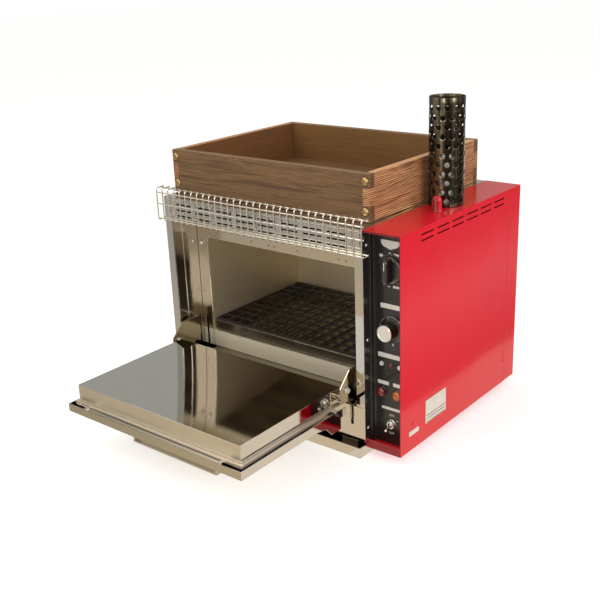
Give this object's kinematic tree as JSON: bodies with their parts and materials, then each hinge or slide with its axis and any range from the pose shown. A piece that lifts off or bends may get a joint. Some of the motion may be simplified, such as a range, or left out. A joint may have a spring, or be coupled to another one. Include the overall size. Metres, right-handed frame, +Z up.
{
  "type": "baked potato oven",
  "caption": "Free-standing electric sweet potato oven: mirror steel cabinet with a drop-down door, wooden crate on top, and a side control box with chimney.",
  "frame": {"origin": "middle of the plinth's flat underside", "axes": "+X to the right along the front towards the control box, +Y from the front into the oven, +Z up"},
  "size_m": [0.4533, 0.5964, 0.4985],
  "materials": {
    "mirror_steel": "polished",
    "satin_steel": "satin",
    "steel_wire": "bright drawn wire",
    "black_iron": "blackened",
    "red_paint": "glossy red paint",
    "black_paint": "black paint",
    "black_plastic": "black moulded",
    "silver_cap": "satin",
    "bright_metal": "bright",
    "white_plastic": "white moulded",
    "plum_plastic": "dark moulded",
    "red_lens": "clear red lens",
    "amber_lens": "clear amber lens",
    "smoked_steel": "darkened by heat",
    "black_rubber": "matt",
    "brown_wood": "dark brown stain, open grain",
    "brass_nail": "polished"
  },
  "bodies": {
    "oven": {"plinth": "mirror_steel", "plinth_rail_left": "satin_steel", "plinth_rail_right": "satin_steel", "cabinet_shell": "mirror_steel", "cabinet_floor": "mirror_steel", "cabinet_back": "mirror_steel", "lower_front_panel": "mirror_steel", "louvre_panel": "mirror_steel", "recess_liner": "mirror_steel", "inner_flange": "mirror_steel", "chamber_liner": "satin_steel", "wire_guard": "steel_wire", "hinge_yoke_left": "satin_steel", "hinge_yoke_right": "satin_steel", "control_shell": "red_paint", "control_back_cover": "red_paint", "control_panel": "black_paint", "timer_dial": "black_paint", "indicator_left": "white_plastic", "indicator_middle": "plum_plastic", "indicator_right": "white_plastic", "lamp_red": "red_lens", "lamp_amber": "amber_lens", "switch_nut": "bright_metal", "rating_plate": "silver_cap", "inner_flue": "bright_metal", "red_post": "red_paint", "cord_inlet": "black_rubber"},
    "door": {"door_pan": "mirror_steel", "door_inner_plate": "mirror_steel", "door_block": "mirror_steel", "door_handle": "satin_steel", "door_arm_left": "mirror_steel", "door_arm_right": "mirror_steel", "arm_bolt_left": "bright_metal", "arm_bolt_right": "bright_metal"},
    "timer": {"timer_knob": "black_plastic"},
    "thermostat": {"thermostat_knob": "black_plastic", "thermostat_cap": "silver_cap"},
    "switch": {"switch_lever": "bright_metal"},
    "tray": {"tray": "mirror_steel"},
    "rack": {"rack": "black_iron"},
    "chimney": {"chimney_guard": "smoked_steel"},
    "crate": {"crate_front": "brown_wood", "crate_back": "brown_wood", "crate_left": "brown_wood", "crate_right": "brown_wood", "crate_floor": "brown_wood", "nail_front_left_upper": "brass_nail", "nail_front_left_lower": "brass_nail", "nail_front_right_upper": "brass_nail", "nail_front_right_lower": "brass_nail", "nail_back_left_upper": "brass_nail", "nail_back_left_lower": "brass_nail", "nail_back_right_upper": "brass_nail", "nail_back_right_lower": "brass_nail"}
  },
  "joints": [
    {"name": "door_hinge", "type": "hinge", "parent": "oven", "child": "door", "pos_m": [0, -0.16215, 0.0602], "axis": [-1, 0, 0], "range_deg": [0, 90]},
    {"name": "timer_turn", "type": "hinge", "parent": "oven", "child": "timer", "pos_m": [0.22345, -0.14015, 0.28452], "axis": [0, 1, 0], "range_deg": [0, 300]},
    {"name": "thermostat_turn", "type": "hinge", "parent": "oven", "child": "thermostat", "pos_m": [0.22345, -0.14015, 0.19699], "axis": [0, 1, 0], "range_deg": [0, 270]},
    {"name": "switch_flip", "type": "hinge", "parent": "oven", "child": "switch", "pos_m": [0.22175, -0.14325, 0.04881], "axis": [-1, 0, 0], "range_deg": [0, 40]},
    {"name": "tray_slide", "type": "slide", "parent": "oven", "child": "tray", "axis": [0, 1, 0], "range_m": [-0.07, 0]},
    {"name": "rack_slide", "type": "slide", "parent": "tray", "child": "rack", "axis": [0, 1, 0], "range_m": [-0.15, 0]},
    {"name": "crate_lift", "type": "slide", "parent": "oven", "child": "crate", "axis": [0, 0, 1], "range_m": [0, 0.25]},
    {"name": "chimney_lift", "type": "slide", "parent": "oven", "child": "chimney", "axis": [0, 0, 1], "range_m": [0, 0.16]}
  ]
}
